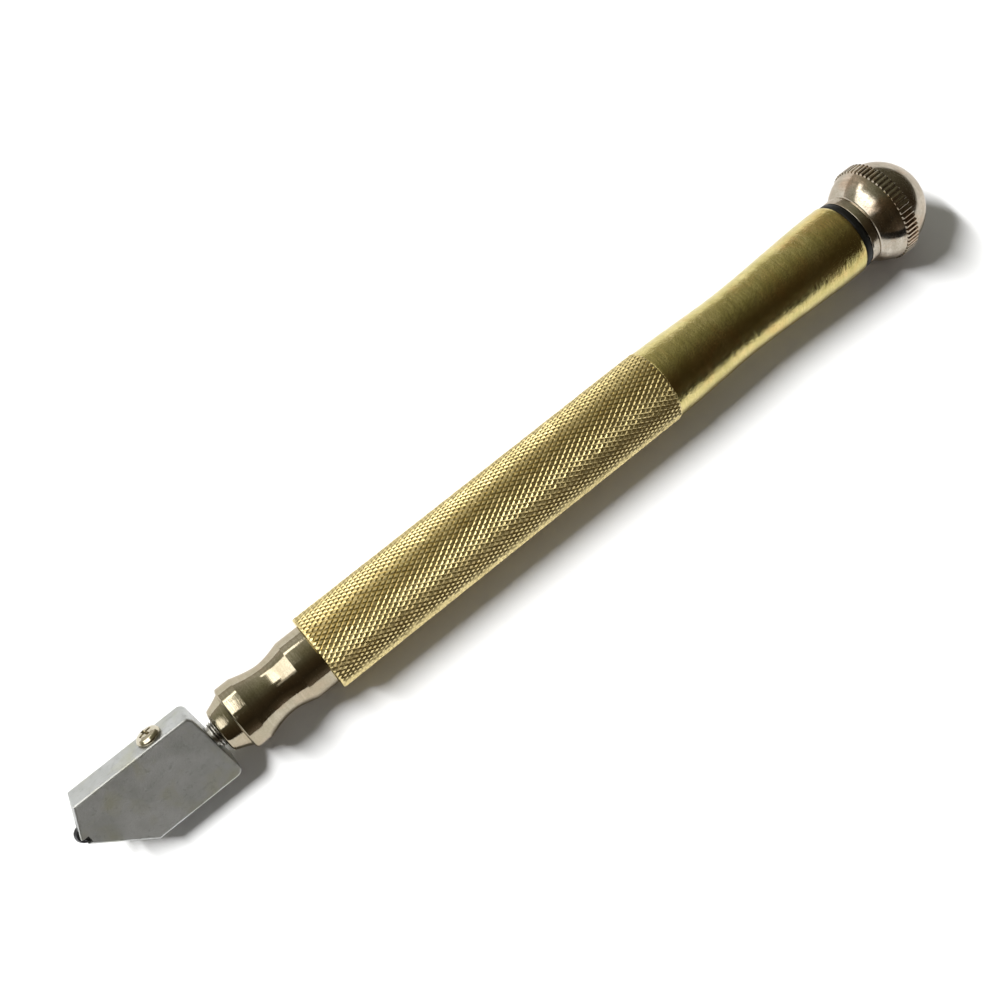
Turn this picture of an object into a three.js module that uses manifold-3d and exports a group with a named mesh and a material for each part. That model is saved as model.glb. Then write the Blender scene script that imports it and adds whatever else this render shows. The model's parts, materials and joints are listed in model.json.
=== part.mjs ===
// Oil-fed glass cutter with a swivelling metal head, a knurled brass barrel and a ball cap.
// Millimetres. The tool lies on its side along X, cutting wheel at -X, cap at +X, +Z up.
// The head is rolled about the tool's axis, so its pieces are made flat in a turned group.
// Every station below is a distance from the head's nose, measured along the tool.
import * as THREE from "three";
import { mergeVertices } from "three/addons/utils/BufferGeometryUtils.js";
import Module from "manifold-3d";

const wasm = await Module();
wasm.setup();

// Overall
const WHEEL_PROUD = 0.85; // how far the wheel stands out of the nose
const DOME_CENTRE = 160.1; // the cap's ball is two spherical faces with the band between
const DOME_R = 8.15;
const BALL_CENTRE = 161.1;
const BALL_R = 8.62;
const BAND_R = 8.6; // milled band round the ball
const CENTRE = (DOME_CENTRE + DOME_R - WHEEL_PROUD) / 2; // station of the frame's origin
const AXIS_Z = BAND_R; // the tool's axis above the plane that the ball touches
const ROUND = 40; // facets round the larger turned pieces
const SMALL_ROUND = 24;

// Head
const HEAD_ROLL = Math.PI / 4; // how the head lies, turned about the tool's axis
const HEAD_REAR_X = [23.85, 22.75]; // the rear face leans: its stations at the -Y and +Y edges
const HEAD_W = 13;
const HEAD_T = 5.4;
const HEAD_CORNER_R = 1.1;
const HEAD_CHAMFER = 0.35;
const BEVEL_SCREW_SIDE_X = 2.4; // station where the short bevel meets the +Y edge
const BEVEL_FAR_SIDE_X = 8.4; // station where the long bevel meets the -Y edge
const NOTCH_X = 1.1; // the axle's seat is open to the nose through this notch
const NOTCH_Y = [0.35, 1.4];

// Wheel
const WHEEL_R = 1.7;
const WHEEL_T = 1.1;
const WHEEL_EDGE_T = 0.35; // half-height of the ground edge's two flanks
const WHEEL_X = WHEEL_R - WHEEL_PROUD;
const WHEEL_Y = 0.75;
const SLOT_T = 1.3;
const SLOT_END_X = 3.6;
const SLOT_Y = [-1.6, 3.1];
const AXLE_R = 0.5;
const AXLE_CLEARANCE = 0.03;
const AXLE_TOP_Z = 1.75; // the axle hole is blind in the upper cheek

// Stem and the bore it turns in
const PIN_R = 1.8;
const HEAD_BORE_R = 1.87;
const PIN_X = 13.6;
const PIN_GROOVE_X = [15.1, 17.7];
const PIN_GROOVE_R = 1.2;
const THREAD_R = 2.2;
const THREAD_ROOT_R = 1.85;
const THREAD_X = 23.6;
const THREAD_PITCH = 0.44;
const THREAD_RIDGES = 5;
const GUIDE_R = 2.15;
const FLANGE_X = [31.5, 32.7];
const FLANGE_R = 3.1;
const HUB_END_X = 35.4;
const HUB_R = 1.85;
const TAIL_R = 1.3;
const TAIL_END_X = 54.9;
const OIL_BORE_R = 0.8;
const OIL_CROSS_X = 34.2;
const HEAD_OIL_R = 1;

// Lock screw
const LOCK_X = 16.4;
const LOCK_HEAD_R = 2;
const LOCK_HEAD_H = 1.15;
const LOCK_SHANK_R = 1.05;
const LOCK_TIP_R = 0.8;
const LOCK_TIP_Y = 1.45;
const RECESS_W = 0.5;
const RECESS_L = 2.2;
const RECESS_DEPTH = 0.7;

// Nose piece
const NOSE_X = 24.8;
const NOSE_FRONT_R = 3.35;
const CONE_END_X = 27.2;
const CONE_END_R = 4.85;
const COLLAR_X = [27.6, 30.2];
const COLLAR_R = 5.45;
const WAIST_X = 34.9;
const WAIST_R = 4.47;
const REAR_COLLAR_X = 38.9;
const REAR_COLLAR_R = 5.28;
const GUIDE_BORE_R = 2.25;
const CHAMBER_X = 31.4;
const CHAMBER_R = 3.3;
const SEAT_BORE_X = 46.4;
const SEAT_BORE_R = 3.8;
const SPIGOT_R = 4.55;
const SPIGOT_END_X = 52;
const STEM_SEAL_X = 28.6;
const NOSE_SEAL_X = 44.6;

// Valve
const SPRING_R = 2.5;
const SPRING_WIRE_R = 0.3;
const SPRING_TURNS = 7;
const SPRING_X = [33.08, 46.82];
const SEAT_X = [46.88, 50.4];
const SEAT_HOLE_R = 1.9;
const SEAT_LIP_R = 2.4;
const SEAT_LIP_END_X = 50.8;
const DISC_X = [50.82, 52];
const DISC_R = 2.9;

// Barrel
const BARREL_X = 43.02;
const KNURL_END_X = 111.2;
const KNURL_R = 6.5;
const BARREL_END_X = 152.1;
const BARREL_PROFILE = [
  // station and radius of the smooth grip behind the knurl
  [112, 6.33],
  [116, 6.24],
  [121, 6.02],
  [127, 5.8],
  [133, 5.88],
  [140, 6.16],
  [147, 6.42],
  [151.6, 6.42],
];
const FRONT_BORE_R = 4.65;
const RESERVOIR_X = [53, 145];
const RESERVOIR_R = 4.85;
const REAR_BORE_R = 4.7;

// Cap
const CAP_THREAD_R = 4.6;
const CAP_THREAD_X = 147.1;
const O_RING_X = [152.12, 153.4];
const O_RING_R = [4.65, 6.2];
const NECK_X = 153.42;
const NECK_R = 6.2;
const BAND_X = [158.85, 161.35];
const BAND_TEETH = 60;
const BAND_DEPTH = 0.28;

const along = (station) => station - CENTRE;

function material(color, roughness, metalness) {
  return new THREE.MeshStandardMaterial({ color, roughness, metalness });
}

const LOOKS = {
  satin: [0x9d9d9a, 0.42, 1],
  nickel: [0xcbc4b4, 0.14, 1],
  brass: [0xc9a75a, 0.3, 1],
  steel: [0xb4b4b2, 0.3, 1],
  carbide: [0x3a3b3e, 0.35, 0.9],
  rubber: [0x121212, 0.6, 0],
  felt: [0xe6e0d0, 0.95, 0],
};

// Every piece is made about the X axis, and the groups lift and turn it into place.
const cutter = new THREE.Group();
const axis = new THREE.Group();
axis.position.z = AXIS_Z;
const head = new THREE.Group();
head.rotation.x = HEAD_ROLL;
axis.add(head);
cutter.add(axis);

function put(name, look, geometry, group = axis) {
  const mesh = new THREE.Mesh(geometry, material(...LOOKS[look]));
  mesh.name = name;
  group.add(mesh);
  return mesh;
}

// A solid turned about the tool's axis from [station, radius] pairs, outer wall first.
function turned(profile, segments = ROUND) {
  const points = profile.map(([x, r]) => new THREE.Vector2(r, along(x)));
  const geometry = new THREE.LatheGeometry(points, segments);
  geometry.rotateZ(-Math.PI / 2);
  return geometry;
}

function closed(profile) {
  return [...profile, profile[0]];
}

// A washer or plain ring between two stations.
function ring([x0, x1], inner, outer, segments = SMALL_ROUND, edge = 0) {
  const outside = edge
    ? [[x0, outer - edge], [x0 + edge, outer], [x1 - edge, outer], [x1, outer - edge]]
    : [[x0, outer], [x1, outer]];
  return turned(closed([...outside, [x1, inner], [x0, inner]]), segments);
}

// A torus of round section about the tool's axis.
function torus(x, middle, section, segments = SMALL_ROUND, sides = 8) {
  const profile = [];
  for (let i = 0; i < sides; i += 1) {
    const a = (i / sides) * 2 * Math.PI;
    profile.push([x - section * Math.cos(a), middle + section * Math.sin(a)]);
  }
  return turned(closed(profile), segments);
}

function solidOf(geometry) {
  const bare = geometry.clone();
  bare.deleteAttribute("normal");
  bare.deleteAttribute("uv");
  const merged = mergeVertices(bare, 1e-4);
  return new wasm.Manifold(
    new wasm.Mesh({
      numProp: 3,
      vertProperties: merged.attributes.position.array,
      triVerts: new Uint32Array(merged.index.array),
    }),
  );
}

function geometryOf(solid) {
  const mesh = solid.getMesh();
  const geometry = new THREE.BufferGeometry();
  geometry.setAttribute("position", new THREE.BufferAttribute(mesh.vertProperties, 3));
  geometry.setIndex(new THREE.BufferAttribute(mesh.triVerts, 1));
  geometry.computeVertexNormals();
  return geometry;
}

function minus(geometry, ...cutters) {
  let solid = solidOf(geometry);
  for (const each of cutters) solid = solid.subtract(solidOf(each));
  return geometryOf(solid);
}

function plus(geometry, other) {
  return geometryOf(solidOf(geometry).add(solidOf(other)));
}

// A box between two corners, as [station, Y, Z].
function box([x0, y0, z0], [x1, y1, z1]) {
  const geometry = new THREE.BoxGeometry(x1 - x0, y1 - y0, z1 - z0);
  geometry.translate(along((x0 + x1) / 2), (y0 + y1) / 2, (z0 + z1) / 2);
  return geometry;
}

// A solid turned about an upright axis at a station, from [z, radius] pairs.
function upright(x, y, profile, segments = SMALL_ROUND) {
  const points = profile.map(([z, r]) => new THREE.Vector2(r, z));
  const geometry = new THREE.LatheGeometry(points, segments);
  geometry.rotateX(Math.PI / 2);
  geometry.translate(along(x), y, 0);
  return geometry;
}

// A solid turned about an axis along +Y at a station, from [y, radius] pairs.
function sideways(x, profile, segments = SMALL_ROUND) {
  const points = profile.map(([y, r]) => new THREE.Vector2(r, y));
  const geometry = new THREE.LatheGeometry(points, segments);
  geometry.translate(along(x), 0, 0);
  return geometry;
}

// Head: a chamfered plate with a pointed nose, slotted for the wheel.
function headBody() {
  const half = HEAD_W / 2;
  const r = HEAD_CORNER_R;
  const lean = Math.atan2(HEAD_REAR_X[0] - HEAD_REAR_X[1], HEAD_W);
  const reach = HEAD_REAR_X[0] * Math.cos(lean) - half * Math.sin(lean) - r;
  const corners = [r - half, half - r].map((y) => (reach - y * Math.sin(lean)) / Math.cos(lean));
  const outline = new THREE.Shape();
  outline.moveTo(BEVEL_FAR_SIDE_X, -half);
  outline.lineTo(corners[0] - 0.1, -half);
  outline.absarc(corners[0], -half + r, r, -Math.PI / 2, lean, false);
  outline.absarc(corners[1], half - r, r, lean, Math.PI / 2, false);
  outline.lineTo(BEVEL_SCREW_SIDE_X, half);
  outline.lineTo(0.1, NOTCH_Y[1] + 0.05);
  outline.lineTo(NOTCH_X, NOTCH_Y[1]);
  outline.lineTo(NOTCH_X, NOTCH_Y[0]);
  outline.lineTo(0.5, NOTCH_Y[0] - 0.05);
  outline.lineTo(BEVEL_FAR_SIDE_X, -half);
  const plate = new THREE.ExtrudeGeometry(outline, {
    depth: HEAD_T - 2 * HEAD_CHAMFER,
    bevelEnabled: true,
    bevelThickness: HEAD_CHAMFER,
    bevelSize: HEAD_CHAMFER,
    bevelOffset: -HEAD_CHAMFER,
    bevelSegments: 1,
    curveSegments: 5,
  });
  plate.translate(along(0), 0, HEAD_CHAMFER - HEAD_T / 2);
  const slot = box([-2, SLOT_Y[0], -SLOT_T / 2], [SLOT_END_X, SLOT_Y[1], SLOT_T / 2]);
  const axleR = AXLE_R + AXLE_CLEARANCE;
  const axleHole = upright(WHEEL_X, WHEEL_Y, [
    [-HEAD_T, 0], [-HEAD_T, axleR], [AXLE_TOP_Z, axleR], [AXLE_TOP_Z, 0],
  ], 24);
  const stemBore = turned([
    [PIN_X - 0.1, 0], [PIN_X - 0.1, HEAD_BORE_R], [HEAD_REAR_X[0] + 1, HEAD_BORE_R],
    [HEAD_REAR_X[0] + 1, 0],
  ], SMALL_ROUND);
  const oilWay = turned([
    [SLOT_END_X - 0.3, 0], [SLOT_END_X - 0.3, HEAD_OIL_R],
    [PIN_X, HEAD_OIL_R], [PIN_X, 0],
  ], 24);
  const screwHole = sideways(LOCK_X, [
    [0, 0], [0, LOCK_SHANK_R + 0.08], [HEAD_W, LOCK_SHANK_R + 0.08], [HEAD_W, 0],
  ], 24);
  return minus(plate, slot, axleHole, stemBore, oilWay, screwHole);
}
put("head_body", "satin", headBody(), head);

// Wheel, ground to an edge at mid-thickness
const wheelHalf = WHEEL_T / 2;
const wheelBore = AXLE_R + 0.05;
put("cutting_wheel", "carbide", upright(WHEEL_X, WHEEL_Y, closed([
  [-wheelHalf, wheelBore], [-wheelHalf, WHEEL_R - WHEEL_EDGE_T], [0, WHEEL_R],
  [wheelHalf, WHEEL_R - WHEEL_EDGE_T], [wheelHalf, wheelBore],
]), 32), head);
put("wheel_axle", "steel", upright(WHEEL_X, WHEEL_Y, [
  [-HEAD_T / 2 + 0.1, 0], [-HEAD_T / 2 + 0.1, AXLE_R - 0.12], [-HEAD_T / 2 + 0.22, AXLE_R],
  [AXLE_TOP_Z - 0.17, AXLE_R], [AXLE_TOP_Z - 0.05, AXLE_R - 0.12], [AXLE_TOP_Z - 0.05, 0],
], 24), head);

// Wicks that feed the wheel: one in the head's oil way, one in the stem's bore
put("oil_wick", "felt", turned([
  [SLOT_END_X - 0.25, 0], [SLOT_END_X - 0.25, 0.7], [SLOT_END_X + 0.05, HEAD_OIL_R - 0.1],
  [PIN_X - 0.35, HEAD_OIL_R - 0.1], [PIN_X - 0.15, 0.7], [PIN_X - 0.15, 0],
], 20), head);

put("stem_wick", "felt", turned([
  [PIN_X + 0.4, 0], [PIN_X + 0.4, 0.6], [PIN_X + 0.6, OIL_BORE_R - 0.06],
  [OIL_CROSS_X - 1.2, OIL_BORE_R - 0.06], [OIL_CROSS_X - 1, 0.6], [OIL_CROSS_X - 1, 0],
], 16));

// Lock screw: a domed head with a cross recess, its tip in the stem's groove
function lockScrew() {
  const seat = HEAD_W / 2 + 0.03;
  const top = seat + LOCK_HEAD_H;
  const blank = sideways(LOCK_X, [
    [LOCK_TIP_Y, 0], [LOCK_TIP_Y, LOCK_TIP_R], [LOCK_TIP_Y + 0.6, LOCK_TIP_R],
    [LOCK_TIP_Y + 0.85, LOCK_SHANK_R], [seat, LOCK_SHANK_R], [seat, LOCK_HEAD_R],
    [seat + 0.5, LOCK_HEAD_R], [seat + 0.85, LOCK_HEAD_R * 0.86],
    [seat + 1.07, LOCK_HEAD_R * 0.55], [top, LOCK_HEAD_R * 0.2], [top, 0],
  ]);
  const bottom = top - RECESS_DEPTH;
  const w = RECESS_W / 2;
  const l = RECESS_L / 2;
  return minus(
    blank,
    box([LOCK_X - l, bottom, -w], [LOCK_X + l, top + 1, w]),
    box([LOCK_X - w, bottom, -l], [LOCK_X + w, top + 1, l]),
  );
}
put("lock_screw", "nickel", lockScrew(), head);

// Stem: swivel pin, threaded shoulder, guide, spring flange and the valve's tail rod
function valveStem() {
  const profile = [
    [PIN_X, OIL_BORE_R], [PIN_X, PIN_R - 0.2], [PIN_X + 0.2, PIN_R],
    [PIN_GROOVE_X[0], PIN_R], [PIN_GROOVE_X[0], PIN_GROOVE_R],
    [PIN_GROOVE_X[1], PIN_GROOVE_R], [PIN_GROOVE_X[1], PIN_R],
    [THREAD_X, PIN_R],
  ];
  for (let i = 0; i < THREAD_RIDGES; i += 1) {
    const x = THREAD_X + i * THREAD_PITCH;
    profile.push([x + 0.06, THREAD_ROOT_R], [x + 0.2, THREAD_R]);
    profile.push([x + 0.3, THREAD_R]);
  }
  profile.push(
    [THREAD_X + THREAD_RIDGES * THREAD_PITCH + 0.06, THREAD_ROOT_R],
    [THREAD_X + THREAD_RIDGES * THREAD_PITCH + 0.4, GUIDE_R],
    [FLANGE_X[0], GUIDE_R], [FLANGE_X[0], FLANGE_R], [FLANGE_X[1], FLANGE_R],
    [FLANGE_X[1], HUB_R], [HUB_END_X, HUB_R], [HUB_END_X + 0.5, TAIL_R],
    [TAIL_END_X - 0.2, TAIL_R], [TAIL_END_X, TAIL_R - 0.2], [TAIL_END_X, 0],
    [OIL_CROSS_X + 0.6, 0], [OIL_CROSS_X + 0.6, OIL_BORE_R],
  );
  const blank = turned(closed(profile), SMALL_ROUND);
  const cross = upright(OIL_CROSS_X, 0, [
    [-4, 0], [-4, 0.5], [4, 0.5], [4, 0],
  ], 16);
  return minus(blank, cross);
}
put("valve_stem", "steel", valveStem());
put("spring_washer", "steel", ring([32.72, 33.02], HUB_R + 0.05, 3));

// Return spring: closed end turns and an even pitch between them
class Coil extends THREE.Curve {
  getPoint(t, target = new THREE.Vector3()) {
    const [x0, x1] = [SPRING_X[0] + SPRING_WIRE_R, SPRING_X[1] - SPRING_WIRE_R];
    const end = 1 / SPRING_TURNS;
    const flat = (2 * SPRING_WIRE_R * 1.1) / (x1 - x0);
    const open = (1 - 2 * flat) / (1 - 2 * end);
    let s = flat + (t - end) * open;
    if (t < end) s = (flat * t) / end;
    if (t > 1 - end) s = 1 - (flat * (1 - t)) / end;
    const a = t * SPRING_TURNS * 2 * Math.PI;
    return target.set(
      along(x0 + s * (x1 - x0)),
      SPRING_R * Math.cos(a),
      SPRING_R * Math.sin(a),
    );
  }
}
const wire = new THREE.Shape();
wire.absarc(0, 0, SPRING_WIRE_R, 0, 2 * Math.PI, false);
put("return_spring", "steel", new THREE.ExtrudeGeometry(wire, {
  steps: SPRING_TURNS * 12,
  curveSegments: 3,
  bevelEnabled: false,
  extrudePath: new Coil(),
}));

// Nose piece: cone, collar, waist and rear collar, then a spigot inside the barrel
function waistRadius(x) {
  const front = x < WAIST_X;
  const from = front ? COLLAR_X[1] : REAR_COLLAR_X;
  const edge = front ? COLLAR_R : REAR_COLLAR_R;
  const t = (x - WAIST_X) / (from - WAIST_X);
  const ease = t * t * (1.55 - 0.55 * t);
  return WAIST_R + (edge - WAIST_R) * ease;
}
const nose = [
  [NOSE_X, GUIDE_BORE_R], [NOSE_X, NOSE_FRONT_R - 0.25], [NOSE_X + 0.25, NOSE_FRONT_R],
  [CONE_END_X, CONE_END_R], [COLLAR_X[0], COLLAR_R],
];
for (let i = 0; i <= 8; i += 1) {
  const x = COLLAR_X[1] + ((REAR_COLLAR_X - COLLAR_X[1]) * i) / 8;
  nose.push([x, waistRadius(x)]);
}
nose.push(
  [BARREL_X - 0.02, REAR_COLLAR_R], [BARREL_X - 0.02, SPIGOT_R],
  [NOSE_SEAL_X - 0.5, SPIGOT_R], [NOSE_SEAL_X - 0.5, 3.95], [NOSE_SEAL_X + 0.5, 3.95],
  [NOSE_SEAL_X + 0.5, SPIGOT_R], [SPIGOT_END_X - 0.3, SPIGOT_R],
  [SPIGOT_END_X, SPIGOT_R - 0.3], [SPIGOT_END_X, SEAT_BORE_R], [SEAT_BORE_X, SEAT_BORE_R],
  [SEAT_BORE_X, CHAMBER_R], [CHAMBER_X, CHAMBER_R], [CHAMBER_X, GUIDE_BORE_R],
  [STEM_SEAL_X + 0.6, GUIDE_BORE_R], [STEM_SEAL_X + 0.6, 3.15], [STEM_SEAL_X - 0.6, 3.15],
  [STEM_SEAL_X - 0.6, GUIDE_BORE_R],
);
put("nose_piece", "nickel", turned(closed(nose)));
put("stem_seal", "rubber", torus(STEM_SEAL_X, 2.64, 0.46));
put("nose_seal", "rubber", torus(NOSE_SEAL_X, 4.3, 0.33));

// Valve: a threaded seat, its gasket and the rubber disc that the stem's tail carries
put("seat_gasket", "rubber", ring([SEAT_BORE_X + 0.02, SEAT_X[0] - 0.02], 2.95, 3.76));
put("valve_seat", "brass", turned(closed([
  [SEAT_X[0], 3.77], [SEAT_X[1], 3.77], [SEAT_X[1], SEAT_LIP_R],
  [SEAT_LIP_END_X, SEAT_LIP_R - 0.2], [SEAT_LIP_END_X, SEAT_HOLE_R],
  [SEAT_X[0], SEAT_HOLE_R],
]), SMALL_ROUND));
put("valve_disc", "rubber", ring(DISC_X, TAIL_R + 0.02, DISC_R));
put("disc_washer", "steel", ring([52.02, 52.5], TAIL_R + 0.03, 2.6));
function valveNut() {
  const hexagon = turned([
    [52.52, 0], [52.52, 2.3], [52.7, 2.5], [54, 2.5], [54.2, 2.3], [54.2, 0],
  ], 6);
  const hole = turned([[50, 0], [50, TAIL_R + 0.04], [56, TAIL_R + 0.04], [56, 0]], 24);
  return minus(hexagon, hole);
}
put("valve_nut", "brass", valveNut());

// Barrel: the knurled grip and the smooth waisted part, one brass tube holding the oil
const barrel = [
  [BARREL_X, FRONT_BORE_R], [BARREL_X, KNURL_R - 0.3], [BARREL_X + 0.3, KNURL_R],
  [KNURL_END_X - 0.25, KNURL_R], [KNURL_END_X, KNURL_R - 0.25],
];
const grip = new THREE.SplineCurve(BARREL_PROFILE.map(([x, r]) => new THREE.Vector2(x, r)));
for (const point of grip.getSpacedPoints(11)) barrel.push([point.x, point.y]);
barrel.push(
  [BARREL_END_X, 6.1], [BARREL_END_X, REAR_BORE_R], [RESERVOIR_X[1], REAR_BORE_R],
  [RESERVOIR_X[1], RESERVOIR_R], [RESERVOIR_X[0], RESERVOIR_R],
  [RESERVOIR_X[0], FRONT_BORE_R],
);
put("barrel", "brass", turned(closed(barrel)));

// Cap: ball with a milled band, a neck and the threaded spigot that closes the barrel
function capBall() {
  const profile = [
    [CAP_THREAD_X, 0], [CAP_THREAD_X, CAP_THREAD_R - 0.4], [CAP_THREAD_X + 0.4, CAP_THREAD_R],
    [NECK_X, CAP_THREAD_R], [NECK_X, NECK_R - 0.15], [NECK_X + 0.15, NECK_R],
  ];
  const shell = (centre, radius, from, to, steps) => {
    const a0 = Math.acos((centre - from) / radius);
    const a1 = Math.acos(Math.max((centre - to) / radius, -1));
    for (let i = 0; i <= steps; i += 1) {
      const a = a0 + ((a1 - a0) * i) / steps;
      profile.push([centre - radius * Math.cos(a), Math.max(radius * Math.sin(a), 0)]);
    }
  };
  const neckEnd = BALL_CENTRE - Math.sqrt(BALL_R ** 2 - NECK_R ** 2);
  shell(BALL_CENTRE, BALL_R, neckEnd, BAND_X[0] + 0.3, 5);
  shell(DOME_CENTRE, DOME_R, BAND_X[1] - 0.3, DOME_CENTRE + DOME_R, 10);
  profile[profile.length - 1][1] = 0;
  const ball = turned(profile);
  const outline = new THREE.Shape();
  for (let i = 0; i < 2 * BAND_TEETH; i += 1) {
    const a = (i / (2 * BAND_TEETH)) * 2 * Math.PI;
    const r = i % 2 ? BAND_R - BAND_DEPTH : BAND_R;
    const point = [r * Math.cos(a), r * Math.sin(a)];
    if (i === 0) outline.moveTo(...point);
    else outline.lineTo(...point);
  }
  const band = new THREE.ExtrudeGeometry(outline, {
    depth: BAND_X[1] - BAND_X[0],
    bevelEnabled: false,
  });
  band.rotateY(Math.PI / 2);
  band.translate(along(BAND_X[0]), 0, 0);
  return plus(ball, band);
}
put("cap_ball", "nickel", capBall());
const middle = (O_RING_R[0] + O_RING_R[1]) / 2;
put("cap_o_ring", "rubber", turned(closed([
  [O_RING_X[0], middle], [O_RING_X[0], 5.75], [O_RING_X[0] + 0.25, O_RING_R[1]],
  [O_RING_X[1] - 0.25, O_RING_R[1]], [O_RING_X[1], 5.75], [O_RING_X[1], 4.9],
  [O_RING_X[1] - 0.25, O_RING_R[0]], [O_RING_X[0] + 0.25, O_RING_R[0]],
  [O_RING_X[0], 4.9],
])));

export default cutter;
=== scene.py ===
import json
import math
import random

import bmesh
import bpy
from mathutils import Matrix, Vector

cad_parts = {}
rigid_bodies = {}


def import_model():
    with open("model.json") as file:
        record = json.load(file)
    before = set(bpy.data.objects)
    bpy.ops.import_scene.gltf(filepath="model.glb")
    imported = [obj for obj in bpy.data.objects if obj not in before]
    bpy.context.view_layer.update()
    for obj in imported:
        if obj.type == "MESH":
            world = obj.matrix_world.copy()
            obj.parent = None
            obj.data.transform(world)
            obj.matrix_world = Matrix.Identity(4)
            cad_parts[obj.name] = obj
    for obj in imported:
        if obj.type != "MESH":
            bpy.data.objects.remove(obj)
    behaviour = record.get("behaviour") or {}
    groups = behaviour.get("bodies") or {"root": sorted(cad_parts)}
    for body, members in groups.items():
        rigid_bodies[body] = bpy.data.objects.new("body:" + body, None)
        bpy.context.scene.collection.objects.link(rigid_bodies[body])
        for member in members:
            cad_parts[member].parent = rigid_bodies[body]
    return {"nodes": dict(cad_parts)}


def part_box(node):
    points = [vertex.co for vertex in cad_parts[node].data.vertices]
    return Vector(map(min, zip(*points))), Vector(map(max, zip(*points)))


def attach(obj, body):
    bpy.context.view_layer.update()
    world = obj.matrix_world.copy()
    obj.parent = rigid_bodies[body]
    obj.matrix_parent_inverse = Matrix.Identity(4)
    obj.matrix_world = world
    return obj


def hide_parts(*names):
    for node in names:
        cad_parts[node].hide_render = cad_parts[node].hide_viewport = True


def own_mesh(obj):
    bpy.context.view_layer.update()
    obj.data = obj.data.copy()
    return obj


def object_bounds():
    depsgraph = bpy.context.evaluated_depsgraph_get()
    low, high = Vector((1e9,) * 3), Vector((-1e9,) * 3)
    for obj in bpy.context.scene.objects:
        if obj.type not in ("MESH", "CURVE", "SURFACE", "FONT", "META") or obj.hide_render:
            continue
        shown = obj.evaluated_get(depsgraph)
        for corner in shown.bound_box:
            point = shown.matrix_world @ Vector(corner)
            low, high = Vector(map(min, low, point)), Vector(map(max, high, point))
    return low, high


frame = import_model()
cad_low, cad_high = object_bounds()

# Profiles and outlines below are in millimetres, as (station, radius) or (station, y). A station
# is the distance behind the head's nose, along the tool's axis. A third number is a fillet radius.

MM = 0.001
WHEEL_PROUD = 0.85  # the wheel stands this far ahead of the nose, where the CAD's box begins
AXIS_Z = (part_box("barrel")[0][2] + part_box("barrel")[1][2]) / 2
HEAD_ROLL = math.radians(45)


def sx(station):
    """Row X, in metres, of a station in millimetres behind the head's nose."""
    return cad_low[0] + (station + WHEEL_PROUD) * MM


TOOL = Matrix.Translation((0, 0, AXIS_Z))
HEAD = TOOL @ Matrix.Rotation(HEAD_ROLL, 4, "X")

# ------------------------------------------------------------------ meshes


def placed(name, data):
    """A new object in the scene."""
    obj = bpy.data.objects.new(name, data)
    bpy.context.scene.collection.objects.link(obj)
    return obj


def sharpen(mesh, degrees):
    """Smooth faces, with the edges above an angle kept sharp."""
    bm = bmesh.new()
    bm.from_mesh(mesh)
    limit = math.radians(degrees)
    for face in bm.faces:
        face.smooth = True
    for edge in bm.edges:
        if len(edge.link_faces) == 2:
            edge.smooth = edge.calc_face_angle(0) < limit
    bm.to_mesh(mesh)
    bm.free()


def piece(name, mesh, material, body, node, sharp=32):
    """A visible piece that rides on a body and stands for a CAD node."""
    sharpen(mesh, sharp)
    obj = placed(name, mesh)
    mesh.materials.clear()
    mesh.materials.append(material)
    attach(obj, body)
    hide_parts(node)
    return obj


def mesh_of(name, points, faces, matrix=TOOL):
    """A closed mesh with its normals outward."""
    mesh = bpy.data.meshes.new(name)
    mesh.from_pydata([matrix @ Vector(p) for p in points], [], faces)
    bm = bmesh.new()
    bm.from_mesh(mesh)
    bmesh.ops.recalc_face_normals(bm, faces=bm.faces)
    bm.to_mesh(mesh)
    bm.free()
    return mesh


def fillet(profile, steps=4):
    """Rounds the corners of a profile of (station, radius[, fillet radius]) points."""
    out = []
    for i, point in enumerate(profile):
        r = point[2] if len(point) > 2 else 0
        here = Vector(point[:2])
        if not r or i in (0, len(profile) - 1):
            out.append(tuple(here))
            continue
        a = Vector(profile[i - 1][:2]) - here
        b = Vector(profile[i + 1][:2]) - here
        half = a.angle(b) / 2
        if half > math.radians(88):
            out.append(tuple(here))
            continue
        cut = min(r / math.tan(half), a.length * 0.48, b.length * 0.48)
        start, end = here + a.normalized() * cut, here + b.normalized() * cut
        for k in range(steps + 1):
            t = k / steps
            p = start * (1 - t) ** 2 + here * 2 * t * (1 - t) + end * t * t
            out.append(tuple(p))
    return out


def along_tool(x, r, a):
    """Place of a turned point, in metres: station, radius in millimetres and angle."""
    return (sx(x), r * MM * math.cos(a), r * MM * math.sin(a))


def turned(name, profile, segments=128, wave=None, matrix=TOOL, place=along_tool):
    """A mesh turned about an axis. wave(station, angle, radius) moves the radius."""
    points, faces, rings = [], [], []
    for x, r in profile:
        if r < 1e-6:
            rings.append([len(points)])
            points.append(place(x, 0, 0))
            continue
        ring = []
        for k in range(segments):
            a = math.tau * k / segments
            ring.append(len(points))
            points.append(place(x, wave(x, a, r) if wave else r, a))
        rings.append(ring)
    loops = list(zip(rings, rings[1:]))
    if profile[0][1] > 1e-6 and profile[-1][1] > 1e-6:
        loops.append((rings[-1], rings[0]))
    for low, high in loops:
        for k in range(segments):
            n = (k + 1) % segments
            if len(low) == 1 and len(high) == 1:
                break
            if len(low) == 1:
                faces.append((low[0], high[k], high[n]))
            elif len(high) == 1:
                faces.append((low[k], low[n], high[0]))
            else:
                faces.append((low[k], low[n], high[n], high[k]))
    return mesh_of(name, points, faces, matrix)


def spread_between(a, b, count):
    """Points from a to b, without b."""
    return [(a[0] + (b[0] - a[0]) * k / count, a[1] + (b[1] - a[1]) * k / count)
            for k in range(count)]


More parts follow.
